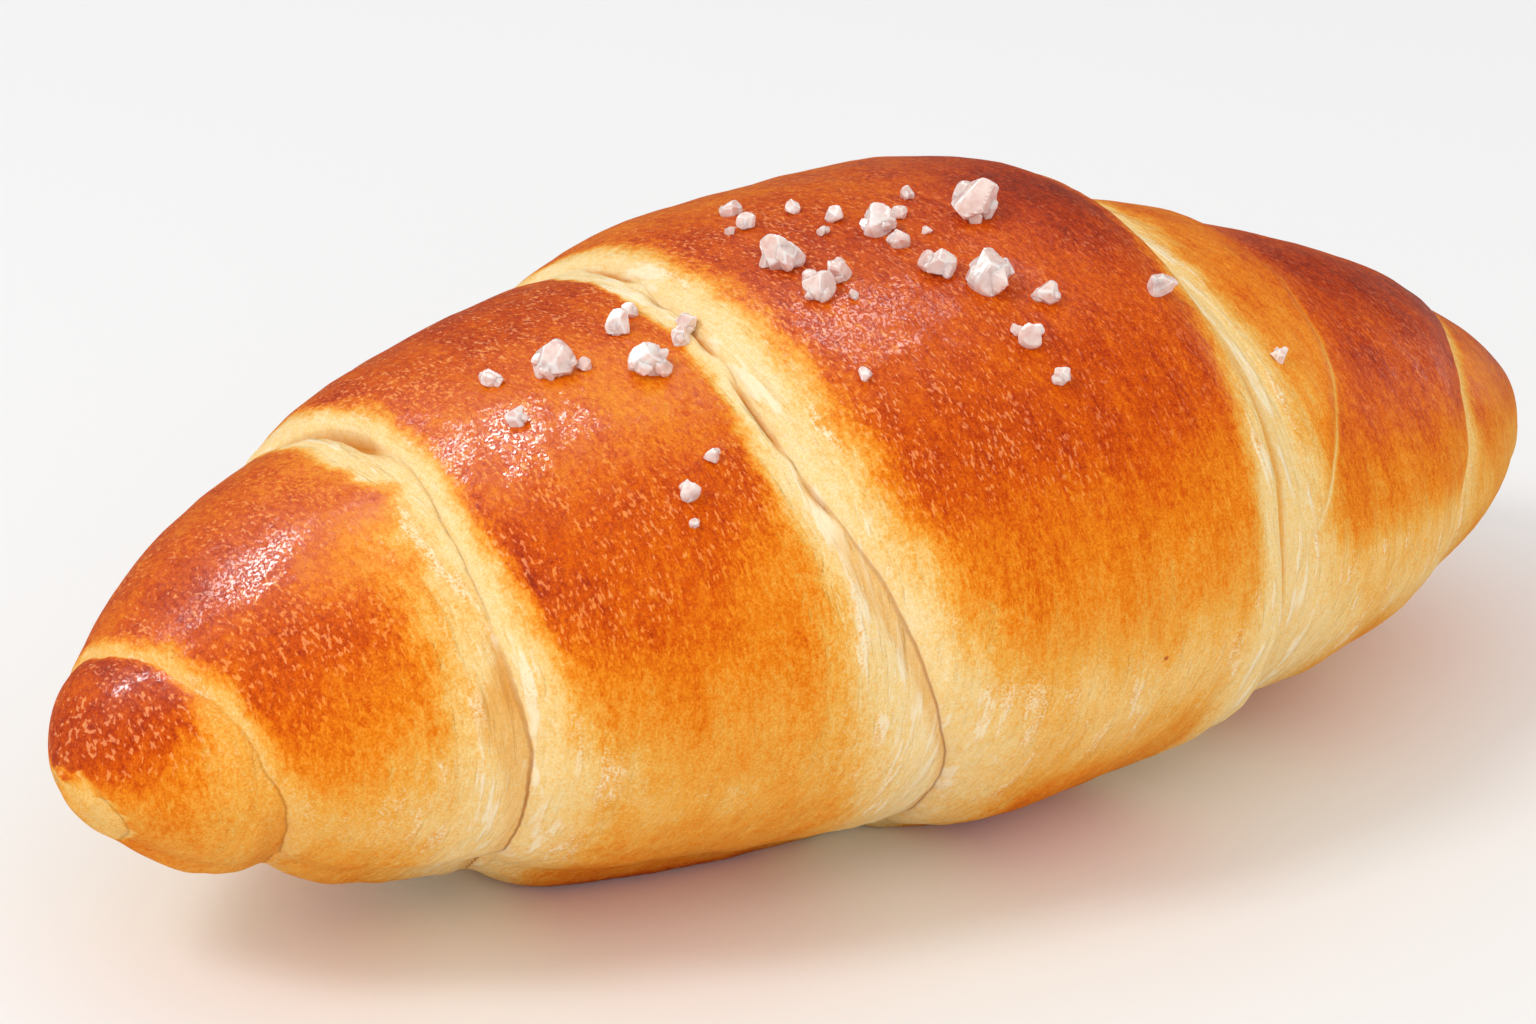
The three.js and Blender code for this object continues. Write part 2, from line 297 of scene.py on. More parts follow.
def rest_on_table(z):
    """The table under the roll, with a rounded start."""
    soft = (z + BASE_ROUND) ** 2 / (4 * BASE_ROUND)
    return np.where(z < -BASE_ROUND, 0, np.where(z > BASE_ROUND, z, soft))


def crust_surface(along, turn, pale=0.3):
    """A spindle whose girth is (1 - reach^full)^taper, lifted on its axis and
    pressed on the table, with the rolled layers and the skin's relief added
    along its radius, and the lips leaning over their creases."""
    left, right = edges_at(turn)
    reach = np.clip(np.abs(along) / (LENGTH / 2), 0, 1)
    is_left = along < 0
    tip = {name: np.where(is_left, LEFT_TIP[name], RIGHT_TIP[name]) for name in LEFT_TIP}
    girth = (1 - (reach * tip["blunt"]) ** tip["full"]) ** tip["taper"]
    girth = girth * np.sqrt(1 - reach ** tip["cap"])
    lift = SHOULDER_LIFT["high"] * bell(along - SHOULDER_LIFT["at"], SHOULDER_LIFT["wide"])
    axis = tip["axis"] + (AXIS_HEIGHT - tip["axis"]) * (1 - reach ** tip["bend"]) + lift
    angle = turn * TAU
    fade = np.clip(girth / 0.5, 0, 1)
    rough = np.stack(np.broadcast_arrays(
        along, HALF_WIDTH * girth * np.sin(angle),
        axis - HALF_HEIGHT * girth * np.cos(angle)), -1)
    relief = fade * (wound_layers(along, turn) + fine_relief(rough, pale))
    wide = np.maximum(0, HALF_WIDTH * girth + relief)
    high = np.maximum(0, HALF_HEIGHT * girth + relief)
    down = np.cos(angle)
    press = 1 + SAG * smooth(0.35, 1, down) + BASE_FLAT * smooth(0.9, 1, down)
    lean = 0
    middle, half = TUCK_PLACE
    for k in range(4):
        lean = lean - TUCK_LEFT[k] * bell(along - left[k] - middle, half) * (along > left[k])
        lean = lean + TUCK_RIGHT[k] * bell(right[k] - along - middle, half) * (along < right[k])
    return np.stack(np.broadcast_arrays(
        along + lean * fade * apart(turn), wide * np.sin(angle),
        rest_on_table(axis - high * down * press)), -1)


def column_seams(turn):
    """Seams that the grid's columns follow.  Along the underside they slide
    back by one turn, because the strip winds on there."""
    near = UNDER_TURNS

    def seams(at):
        left, right = edges_at(at)
        second = np.clip(right[2], right[3] + 5, right[1] - 4)
        return np.stack([left[1], left[2], left[3], right[3], second, right[1]], -1)

    own = seams(np.clip(turn, near, 1 - near))
    first, final = seams(np.array([near])), seams(np.array([1 - near]))
    u = np.where(turn < near, (turn + near) / (2 * near), (turn - 1 + near) / (2 * near))
    mixed = final + (first - final) * smooth(0, 1, u)[:, None]
    under = (turn < near) | (turn > 1 - near)
    return np.where(under[:, None], mixed, own)


def column_shares(count, first, last):
    """Places of `count` columns across a band, 0 to 1, closer together at the
    two seams: gaps grow from `first` and `last` to 1 over a seventh."""
    u = (np.arange(count) + 0.5) / count
    gap = np.minimum(1, np.minimum(first + (1 - first) * u * 7, last + (1 - last) * (1 - u) * 7))
    return np.concatenate([[0], np.cumsum(gap)[:-1]]) / gap.sum()


def crust_grid():
    """Grid of (place along, turn): rows round the roll, columns that follow
    the seams."""
    turn = np.arange(ROWS) / ROWS
    ends = np.full((ROWS, 1), LENGTH / 2)
    seams = np.concatenate([-ends, column_seams(turn), ends], 1)
    along = []
    for j, count in enumerate(BAND_COLUMNS):
        first = TIP_GAP if j == 0 else SEAM_GAP
        last = TIP_GAP if j == len(BAND_COLUMNS) - 1 else SEAM_GAP
        share = column_shares(count, first, last)
        along.append(seams[:, j:j + 1] + (seams[:, j + 1:j + 2] - seams[:, j:j + 1]) * share)
    along = np.concatenate(along, 1)[:, 1:]
    return along, np.broadcast_to(turn[:, None], along.shape)


# How brown each band is: [degrees from the top towards the front, level].
BAND_BAKE = [
    [(-30, 0.80), (0, 0.76), (45, 0.76), (60, 0.73), (75, 0.68), (90, 0.56), (110, 0.48),
     (130, 0.42), (150, 0.50)],
    [(-30, 0.69), (45, 0.69), (60, 0.66), (70, 0.61), (80, 0.53), (90, 0.46), (100, 0.37),
     (120, 0.31), (145, 0.42)],
    [(-30, 0.74), (0, 0.68), (15, 0.66), (50, 0.70), (60, 0.67), (70, 0.62), (80, 0.54),
     (90, 0.47), (100, 0.40), (110, 0.35), (120, 0.35), (135, 0.42), (150, 0.50)],
    [(-30, 0.64), (-20, 0.70), (0, 0.72), (20, 0.75), (45, 0.75), (58, 0.70), (70, 0.60),
     (80, 0.49), (90, 0.41), (100, 0.31), (110, 0.26), (120, 0.33), (132, 0.50), (150, 0.52)],
    [(0, 0.57), (30, 0.55), (55, 0.46), (70, 0.36), (80, 0.28), (100, 0.28), (120, 0.38),
     (140, 0.42)],
    [(-10, 0.72), (10, 0.83), (30, 0.83), (45, 0.80), (60, 0.70), (70, 0.57), (80, 0.52),
     (90, 0.32), (110, 0.22), (130, 0.42)],
    [(0, 0.70), (45, 0.66), (65, 0.60), (80, 0.45), (100, 0.36), (130, 0.45)],
]
# Pale strips beside the seams: edge, turn, side, level, raggedness in mm, then
# stations of [degrees, width, softness], in mm.
PALE_STRIPS = [
    ("left", 0, -1, 0.28, 0.2, [(60, 0.1, 0.5), (90, 1.4, 1.2), (120, 2.8, 1.5), (165, 3.4, 1.8)]),
    ("left", 1, -1, 0.36, 0.9, [(0, 0.1, 0.4), (29, 0.5, 0.6), (40, 1.0, 0.9), (52, 1.9, 1.2),
                                (64, 2.9, 1.8), (82, 3.6, 2.6), (100, 4.5, 3.4)]),
    ("left", 1, 1, 0.28, 0.3, [(-40, 0.7, 0.5), (10, 0.9, 0.7), (38, 1.2, 0.7), (67, 0.9, 0.7),
                               (100, 0.7, 1.2)]),
    ("left", 2, -1, 0.14, 1.0, [(-40, 1.8, 0.8), (-26, 3.4, 0.8), (-16, 4.3, 0.8), (-3, 4.3, 0.7),
                                (3, 4.6, 0.7), (6, 3.4, 0.9), (10, 2.4, 1.4), (24, 2.6, 2.4),
                                (40, 3.0, 3.2), (60, 3.6, 3.4), (75, 4.6, 3.4), (100, 6.0, 4.0)]),
    ("left", 2, 1, 0.13, 0.3, [(-46, 2.6, 0.9), (-33, 1.6, 1.0), (-11, 1.2, 1.1), (10, 1.2, 1.1),
                               (32, 1.4, 1.2), (41, 1.8, 1.2), (53, 2.0, 1.3), (75, 2.4, 1.9),
                               (100, 3.0, 3.5)]),
    ("left", 3, -1, 0.09, 0.5, [(-40, 2.0, 0.5), (-18, 3.4, 0.5), (-9, 2.8, 0.5), (-2, 2.0, 0.5),
                                (12, 1.7, 0.6), (31, 1.6, 1.0), (40, 2.0, 1.4), (50, 2.8, 1.9),
                                (63, 3.4, 2.4), (73, 4.4, 2.8), (82, 5.2, 3.4), (100, 6.0, 4.0)]),
    ("left", 3, 1, 0.11, 0.5, [(-40, 1.4, 1.0), (-22, 1.8, 1.2), (-8, 2.4, 1.6), (1, 2.9, 1.8),
                               (18, 3.8, 2.2), (30, 3.9, 2.4), (49, 3.4, 2.8), (68, 2.8, 3.4),
                               (100, 3.0, 4.0)]),
    ("right", 3, -1, 0.14, 0.4, [(-40, 0.2, 1.0), (0, 0.4, 1.2), (25, 0.7, 1.6), (40, 1.3, 1.8),
                                 (50, 2.0, 1.8), (60, 2.4, 1.6), (80, 2.7, 1.4), (100, 3.4, 1.6),
                                 (120, 4.5, 2.2)]),
    ("right", 3, 1, 0.15, 0.5, [(0, 4.6, 2.2), (10, 4.6, 2.2), (26, 4.6, 2.0), (44, 5.4, 2.2),
                                (60, 5.2, 2.4), (75, 6.5, 3.0), (90, 8.0, 3.0), (110, 10.0, 4.0)]),
    ("right", 1, -1, 0.34, 0.0, [(20, 0.3, 0.5), (80, 0.5, 0.7)]),
    ("right", 1, 1, 0.22, 0.0, [(10, 0.5, 0.6), (30, 0.9, 0.9), (60, 1.3, 1.2), (90, 2.4, 1.8)]),
]
# Painted shade: tan strips beside the seams, darkened where they lie sunken in a lip's shade:
# edge, turn, side, then stations of [degrees, width in mm, how much painted shade].
RECESS_SHADES = [
    ("left", 1, -1, [(95, 0.2, 0.0), (110, 2.0, 0.5), (125, 2.5, 0.6)]),
    ("left", 2, -1, [(60, 0.0, 0.0), (67, 1.4, 0.7), (75, 3.0, 0.9), (85, 3.4, 0.7),
                     (100, 2.2, 0.5), (125, 1.2, 0.5)]),
    ("left", 3, -1, [(54, 0.0, 0.0), (60, 1.6, 0.6), (70, 2.2, 0.6), (80, 1.8, 0.6),
                     (90, 1.3, 0.6), (110, 0.8, 0.6), (125, 0.6, 0.5)]),
    ("right", 3, 1, [(0, 1.4, 0.9), (50, 1.5, 1.0), (80, 1.5, 1.0), (115, 1.3, 1.0)]),
]
# Strength of the painted shade stroke in the crease under each lip: edge, turn, [degrees,
# strength].
SEAM_SHADE_LINES = [
    ("left", 0, [(80, 0.1), (100, 0.4)]), ("left", 1, [(20, 0.0), (70, 0.2), (100, 0.5)]),
    ("left", 2, [(0, 0.1), (60, 0.15), (80, 0.5), (110, 0.8)]),
    ("left", 3, [(-20, 0.1), (40, 0.2), (60, 0.4), (100, 0.7)]),
    ("right", 3, [(0, 0.5), (50, 0.6), (90, 0.8)]), ("right", 1, [(0, 0.2), (90, 0.5)]),
]
# The darker rim where the brown of the third band starts: [degrees, mm from
# its left edge].
DARK_RIM = [(-11, 2.0), (10, 2.0), (32, 2.2), (41, 2.7), (53, 3.0), (64, 3.1), (75, 3.3)]
# Darker patches on the crown and lighter ones (below 0): [place along, degrees
# from the top towards the front, half width in mm, how much darker].
SCORCHES = [
    (-60, -8, 6, 0.10), (-69, 10, 4, 0.06), (-41, 36, 3, 0.06), (-30, -25, 8, 0.04),
    (17, 2, 8, 0.22), (12, 48, 5, 0.05), (50, 14, 7, 0.08), (-2, 2, 7, 0.05),
    (-12, -6, 8, 0.04), (-48, -8, 4.5, -0.10), (-27, -14, 7, 0.05),
    (-57, 45, 6, 0.04), (-30, 50, 7, 0.03), (-58.5, 9, 5.5, 0.09), (-39, 13, 5, 0.06),
    (-49.5, 22, 5.0, -0.17), (-50, 55, 5, -0.06), (-25, 62, 4.0, -0.17),
    (-27, 25, 4.0, -0.10), (21, 62, 6.0, -0.08), (13, 75, 5.0, -0.06), (44, 40, 4.0, -0.08),
    (58, 50, 4.0, -0.06), (-45, 75, 3.0, 0.07), (-36, 62, 4.0, 0.05), (0, 55, 5.0, 0.05),
]
# Where the glaze lies thick: [place along, degrees, half width in mm, share].
GLAZE = [
    (-69, 17, 4.0, 0.9), (-56.6, 13.5, 4.3, 1.0), (-50.7, 27, 2.2, 0.8), (-38.1, 17, 5.5, 0.9),
    (-33.8, 21, 4.5, 0.6), (-9.0, 20, 7.0, 0.6), (-6.9, 31, 2.5, 0.6), (11, -11, 8.0, 0.5),
    (57, 22, 6.0, 0.8), (41.4, 56, 5.0, 0.7), (66, 40, 6.0, 0.6), (-41.4, 50, 1.5, 0.8),
]
CHAR_SPOT = (6.4, 98, 0.18)           # a tiny dark spot: place, degrees, radius in mm
DEGREE_MM = 0.45                      # a degree round the roll, roughly in mm
NO_STRIP = 4.0                        # a border value well outside every strip
NO_SEAM = 6.0                         # a distance well away from every seam


def patch(along, signed, place, at, half):
    """A round patch on the crust: a bell along times a bell round the roll."""
    return bell(along - place, half) * bell((signed - at) * DEGREE_MM, half)


def along_seam(stations, degrees):
    """Value at an angle from [degrees, value] stations.  The back's lower side
    takes the values of the front's."""
    at, value = zip(*stations)
    back = smooth(-45, -90, degrees)
    return np.interp(degrees, at, value) * (1 - back) + np.interp(-degrees, at, value) * back


def looks_at(along, turn, points):
    """What the material reads, for each vertex: how brown the skin is there
    (`bake`), the distance to the nearest pale strip's border over that
    border's softness (`border`), how pale the strip is (`strip`), the distance
    to the nearest seam, above 0 on its lip (`seam`), the strength of the
    painted shade stroke in the crease there (`line`), how open the slit under
    it is, which takes the dough's tan and painted shade (`pocket`), how much
    painted tan shade lies beside a lip (`recess_shade`), how thick the glaze is
    (`glaze`) and the share of painted highlight flecks (`highlight_fleck_share`)."""
    left, right = edges_at(turn)
    edges = {"left": left, "right": right}
    signed = (turn - 0.5) * 360
    degrees = np.abs(signed)
    seams = [np.full(along.shape, -LENGTH / 2), left[1], left[2], left[3],
             right[3], right[2], right[1], np.full(along.shape, LENGTH / 2)]
    bake = np.zeros(along.shape)
    for j, stations in enumerate(BAND_BAKE):
        change = 4.0 if j in (4, 5) else 0.01
        share = smooth(-change, change, along - seams[j]) if j == 5 else along >= seams[j]
        bake = bake + (along_seam(stations, signed) - bake) * share
    for place, at, half, more in SCORCHES:
        bake = bake + more * patch(along, signed, place, at, half)
    glaze = 0
    for place, at, half, share in GLAZE:
        glaze = np.maximum(glaze, share * patch(along, signed, place, at, half))
    rim = bell(along - left[2] - along_seam(DARK_RIM, signed), 0.4)
    bake = bake + 0.13 * rim * smooth(-16, -6, signed) * smooth(74, 64, signed)
    bake = bake + 0.25 * (1 - smooth(0.2, 1.8, points[..., 2]))
    rag = lumps(points, 2.3, 11) + 0.5 * lumps(points, 1.0, 12)
    border = np.full(along.shape, NO_STRIP)
    strip = np.full(along.shape, 0.12)
    for name, k, side, level, ragged, stations in PALE_STRIPS:
        inside = side * (along - edges[name][k])
        width = along_seam([(at, w) for at, w, _ in stations], signed)
        soft = along_seam([(at, v) for at, _, v in stations], signed)
        torn = ragged * rag * np.minimum(1, width)
        gap = np.where(inside < 0, NO_STRIP, (inside - width + torn) / soft)
        strip = np.where(gap < border, level, strip)
        border = np.minimum(border, gap)
    # Painted shade: how much the sunken strips beside the lips are darkened to tan.
    recess_shade = np.zeros(along.shape)
    for name, k, side, stations in RECESS_SHADES:
        inside = side * (along - edges[name][k])
        width = along_seam([(at, w) for at, w, _ in stations], signed)
        amount = along_seam([(at, v) for at, _, v in stations], signed)
        within = smooth(width + 0.4, width - 0.4, inside) * (inside > 0)
        recess_shade = np.maximum(recess_shade, amount * within)
    # A thin paler line on the lip of the third turn, where it lies free.
    free = smooth(3, 8, right[2] - right[3]) * smooth(95, 75, degrees)
    second = bell(along - right[2], 0.4) * free
    bake = bake - (0.24 + 0.20 * smooth(30, 75, degrees)) * second
    seam = np.full(along.shape, NO_SEAM)
    line = np.zeros(along.shape)
    pocket = np.zeros(along.shape)
    # Painted shade: the nearest seam, and how strong the shade stroke in its crease is there.
    for name, k, strength in SEAM_SHADE_LINES:
        beside = along - left[k] if name == "left" else right[k] - along
        near = np.abs(beside) < np.abs(seam)
        seam = np.where(near, beside, seam)
        line = np.where(near, along_seam(strength, signed), line)
    # Open slits under the lips: the dough's golden tan inside, darkened further as painted shade.
    for k in (2, 3):
        pocket = np.maximum(pocket, np.minimum(1, 1.3 * pocket_depth(turn, k, along - left[k])))
    # The share of painted highlight flecks is higher towards the left end.
    return dict(bake=bake, border=border, strip=strip, seam=seam, line=line, pocket=pocket,
                recess_shade=recess_shade, glaze=glaze, highlight_fleck_share=0.4 + 0.6 * smooth(14, -12, along))


def crust_looks(along, turn, points):
    """The same, joined along the underside; the seams' painted shade strokes fade out there."""
    looks = looks_at(along, turn, points)
    start, end = (looks_at(along, at, points) for at in (0 * turn, 0 * turn + 1))
    for name in ("bake", "border", "strip", "recess_shade", "glaze"):
        looks[name] = joined(looks[name], start[name], end[name], turn)
    looks["line"] = looks["line"] * apart(turn)
    return looks


def mesh_object(name, points, faces, material):
    """A smooth mesh object from points in millimetres and faces, in metres."""
    mesh = bpy.data.meshes.new(name)
    mesh.from_pydata((points * MM).tolist(), [], faces)
    mesh.materials.append(material)
    mesh.shade_smooth()
    piece = bpy.data.objects.new(name, mesh)
    bpy.context.scene.collection.objects.link(piece)
    return piece


def add_attribute(piece, name, values):
    """Puts one number for each vertex on a piece, for its material."""
    layer = piece.data.attributes.new(name, "FLOAT", "POINT")
    layer.data.foreach_set("value", values.astype(np.float32))


def make_crust(material):
    """The closed crust: the grid's quads, and a fan at each tip."""
    along, turn = crust_grid()
    first = crust_surface(along, turn)
    looks = crust_looks(along, turn, first)
    pale = 1 - smooth(-1, 1, looks["border"]) * smooth(0.2, 0.6, looks["bake"])
    points = crust_surface(along, turn, pale)
    rows, columns = along.shape
    number = np.arange(rows * columns).reshape(rows, columns)
    here, after = number, np.roll(number, -1, 0)
    quads = np.stack([here[:, :-1], after[:, :-1], after[:, 1:], here[:, 1:]], -1).reshape(-1, 4)
    left_pole, right_pole = rows * columns, rows * columns + 1
    left_fan = np.stack([here[:, 0], np.full(rows, left_pole), after[:, 0]], -1)
    right_fan = np.stack([here[:, -1], after[:, -1], np.full(rows, right_pole)], -1)
    poles = np.array([[-LENGTH / 2, 0, LEFT_TIP["axis"]], [LENGTH / 2, 0, RIGHT_TIP["axis"]]])
    everything = np.concatenate([points.reshape(-1, 3), poles])
    faces = quads.tolist() + left_fan.tolist() + right_fan.tolist()
    piece = mesh_object("crust", everything, faces, material)
    for name, value in looks.items():
        ends = [value[:, 0].mean(), value[:, -1].mean()]
        add_attribute(piece, name, np.concatenate([value.ravel(), ends]))
    return piece


# ---- salt ------------------------------------------------------------------
def grain_lobe(size, draw, rows, columns):
    """One crystal on a grid of two angles.  Its radius is that of a body cut
    by seeded planes with crisp edges: the inverse of the power mean of
    (facing / reach) over the planes that face it.  The rim is 1 where two
    planes are equally far out, and fades to 0 away from there."""
    theta = np.linspace(0, math.pi, rows + 1)[:, None]
    phi = np.arange(columns)[None, :] / columns * TAU
    way = np.stack(np.broadcast_arrays(
        np.sin(theta) * np.cos(phi), np.sin(theta) * np.sin(phi), np.cos(theta)), -1)
    planes = draw.normal(size=(CRYSTAL_PLANES, 3))
    planes /= np.linalg.norm(planes, axis=1, keepdims=True)
    reach = draw.uniform(*CRYSTAL_REACH, CRYSTAL_PLANES)
    facing = np.maximum(way @ planes.T, 0) / reach
    cut = np.sum(facing ** CRYSTAL_CRISP, axis=-1)
    radius = (cut + CRYSTAL_CORNER ** -CRYSTAL_CRISP) ** (-1 / CRYSTAL_CRISP)
    radius = radius * (1 + 0.02 * lumps(way, 0.3, int(draw.integers(1000))))
    points = way * radius[..., None] * size
    ranked = np.sort(facing, axis=-1)
    rim = bell(1 - ranked[..., -2] / ranked[..., -1], 0.1)
    ring = points[1:-1].reshape(-1, 3)
    closed = np.concatenate([ring, points[0, :1], points[-1, :1]])
    rim = np.concatenate([rim[1:-1].ravel(), rim[0, :1], rim[-1, :1]])
    number = np.arange(len(ring)).reshape(rows - 1, columns)
    after = np.roll(number, -1, 1)
    quads = np.stack([number[:-1], number[1:], after[1:], after[:-1]], -1).reshape(-1, 4)
    north, south = len(ring), len(ring) + 1
    faces = quads.tolist()
    faces += np.stack([np.full(columns, north), number[0], after[0]], -1).tolist()
    faces += np.stack([after[-1], number[-1], np.full(columns, south)], -1).tolist()
    return closed, faces, rim


def make_salt(material):
    """All grains as one mesh: each is a chunk with a few smaller crystals
    grown into its sides, standing on the crust along its normal."""
    draw = np.random.default_rng(GRAIN_SEED)
    points, faces, rims, base = [], [], [], 0
    for along, degrees, size in GRAINS:
        turn = 0.5 + degrees / 360
        spots = np.array([along, along + 0.4, along]), np.array([turn, turn, turn + 0.0025])
        at, beside, round_ = crust_surface(*spots)
        normal = np.cross(beside - at, round_ - at)
        normal /= np.linalg.norm(normal)
        if normal @ (0, at[1], at[2] - AXIS_HEIGHT) < 0:
            normal = -normal
        stand = np.array(Vector((0, 0, 1)).rotation_difference(Vector(normal)).to_matrix())
        count = 5 if size > 2.5 else 3 if size > 1.5 else 2
        start = TAU * draw.random()
        for i in range(count):
            core = i == 0
            part = draw.uniform(0.86, 0.94) if core else draw.uniform(0.38, 0.58)
            way = start + TAU * (i / max(1, count - 1) + 0.12 * draw.random())
            out = 0 if core else size * draw.uniform(0.24, 0.34)
            lift = size * (0.26 if core else draw.uniform(0.12, 0.34))
            lobe, own, rim = grain_lobe(size * part, draw, *((24, 40) if core else (12, 20)))
            lobe = lobe * (1.0, draw.uniform(0.85, 1.1), 1.05)
            lobe = lobe + (out * math.cos(way), out * math.sin(way), lift)
            points.append(lobe @ stand.T + at)
            rims.append(rim)
            faces += [[index + base for index in face] for face in own]
            base += len(lobe)
    piece = mesh_object("salt", np.concatenate(points), faces, material)
    piece.data.shade_flat()
    add_attribute(piece, "rim", np.concatenate(rims))
    return piece


# ---- materials -------------------------------------------------------------
class Finish:
    """A material and short ways to add its nodes."""

    def __init__(self, name):
        self.material = bpy.data.materials.new(name)
        self.material.use_nodes = True
        self.nodes = self.material.node_tree.nodes
        self.links = self.material.node_tree.links
        self.shader = self.nodes["Principled BSDF"]
        self.place = self.nodes.new("ShaderNodeTexCoord").outputs["Object"]

    def link(self, source, target):
        """Joins two sockets, or sets the target to a plain value."""
        if isinstance(source, (int, float, tuple)):
            target.default_value = source
        else:
            self.links.new(source, target)

    def attribute(self, name):
        """One of the piece's own numbers for each vertex."""
        node = self.nodes.new("ShaderNodeAttribute")
        node.attribute_name = name
        return node.outputs["Fac"]

    def math(self, kind, a, b=0.0, c=0.0, clamp=False):
        """A sum on up to three values; MULTIPLY_ADD is a * b + c."""
        node = self.nodes.new("ShaderNodeMath")
        node.operation = kind
        node.use_clamp = clamp
        for value, socket in zip((a, b, c), node.inputs):
            self.link(value, socket)
        return node.outputs[0]

    def noise(self, size_mm, detail=2.0, rough=0.5, stretch=None):
        """Noise whose swells are about size_mm apart, from -0.5 to 0.5."""
        node = self.nodes.new("ShaderNodeTexNoise")
        place = self.place
        if stretch:
            mapping = self.nodes.new("ShaderNodeMapping")
            mapping.inputs["Scale"].default_value = stretch
            self.link(place, mapping.inputs["Vector"])
            place = mapping.outputs[0]
        self.link(place, node.inputs["Vector"])
        node.inputs["Scale"].default_value = 1 / (size_mm * MM)
        node.inputs["Detail"].default_value = detail
        node.inputs["Roughness"].default_value = rough
        return self.math("SUBTRACT", node.outputs["Fac"], 0.5)

    def ease(self, value, low, high, to_low=0.0, to_high=1.0):
        """Passes smoothly from to_low at low to to_high at high."""
        node = self.nodes.new("ShaderNodeMapRange")
        node.interpolation_type = "SMOOTHSTEP"
        for name, number in (("From Min", low), ("From Max", high),
                             ("To Min", to_low), ("To Max", to_high)):
            node.inputs[name].default_value = number
        self.link(value, node.inputs["Value"])
        return node.outputs["Result"]

    def spot(self, along, degrees, radius_mm):
        """1 within a small radius of a place on the crust, 0 outside."""
        point = crust_surface(np.array([along]), np.array([0.5 + degrees / 360]))[0] * MM
        node = self.nodes.new("ShaderNodeVectorMath")
        node.operation = "DISTANCE"
        self.link(self.place, node.inputs[0])
        node.inputs[1].default_value = point
        return self.ease(node.outputs["Value"], 1.8 * radius_mm * MM, 0.6 * radius_mm * MM)

    def ramp(self, value, stops):
        """Colour at a value, from stops of (value, colour as shown)."""
        node = self.nodes.new("ShaderNodeValToRGB")
        ramp = node.color_ramp
        while len(ramp.elements) < len(stops):
            ramp.elements.new(0.5)
        for element, (at, colour) in zip(ramp.elements, stops):
            element.position = at
            element.color = (*shown(colour), 1)
        self.link(value, node.inputs["Fac"])
        return node.outputs["Color"]

    def mix(self, share, a, b, kind="MIX"):
        """Colour a with a share of the colour as shown b laid over it."""
        node = self.nodes.new("ShaderNodeMix")
        node.data_type = "RGBA"
        node.blend_type = kind
        self.link(share, node.inputs[0])
        for colour, socket in zip((a, b), (node.inputs[6], node.inputs[7])):
            self.link((*shown(colour), 1) if isinstance(colour, tuple) else colour, socket)
        return node.outputs[2]

    def bump(self, height, distance_mm, under=None):
        """Normal of a relief of that height, over another normal."""
        node = self.nodes.new("ShaderNodeBump")
        node.inputs["Distance"].default_value = distance_mm * MM
        self.link(height, node.inputs["Height"])
        if under is not None:
            self.link(under, node.inputs["Normal"])
        return node.outputs["Normal"]

    def set(self, **values):
        """Sets or links the shader's sockets, named in small letters."""
        for name, value in values.items():
            socket = name.replace("_", " ").title().replace("Ior", "IOR")
            self.link(value, self.shader.inputs[socket])


def shown(colour):
    """Linear value of a colour given as shown on a screen, 0 to 255."""
    return tuple(c / 3294.6 if c <= 10.31 else ((c / 255 + 0.055) / 1.055) ** 2.4
                 for c in colour)


BAKE_COLOURS = [
    (0.00, (253, 230, 180)), (0.18, (249, 208, 132)), (0.35, (244, 174, 70)),
    (0.52, (238, 134, 18)), (0.70, (216, 88, 0)), (0.85, (182, 56, 4)),
    (1.00, (134, 36, 12)),
]
# Painted shade in the creases just off the lips.
GROOVE_SHADE_COLOUR = (176, 104, 40)
# Inside of the open slits: the dough's golden tan, darkened further as painted shade.
SLIT_DOUGH_AND_SHADE_COLOUR = (218, 146, 58)
# Painted shade: the tan that darkens the sunken strips beside the lips.
RECESS_SHADE_COLOUR = (240, 206, 150)
# Painted glint on the highlight flecks.
PAINTED_GLINT_COLOUR = (252, 206, 168)
FLAKE_COLOUR = (255, 240, 206)
CHAR_COLOUR = (196, 96, 30)
# Salt colours: the pink in them is painted light from the crust; the rim's white is partly painted
# sheen.
SALT_CLOUDY_PINK_LIT = (234, 198, 188)
SALT_CLEAR_PINK_LIT = (250, 228, 219)
SALT_RIM_WHITE_AND_SHEEN = (255, 248, 244)
FLOOR_SEEN = 0.9                      # greys, linear
FLOOR_MIRRORED = 0.2


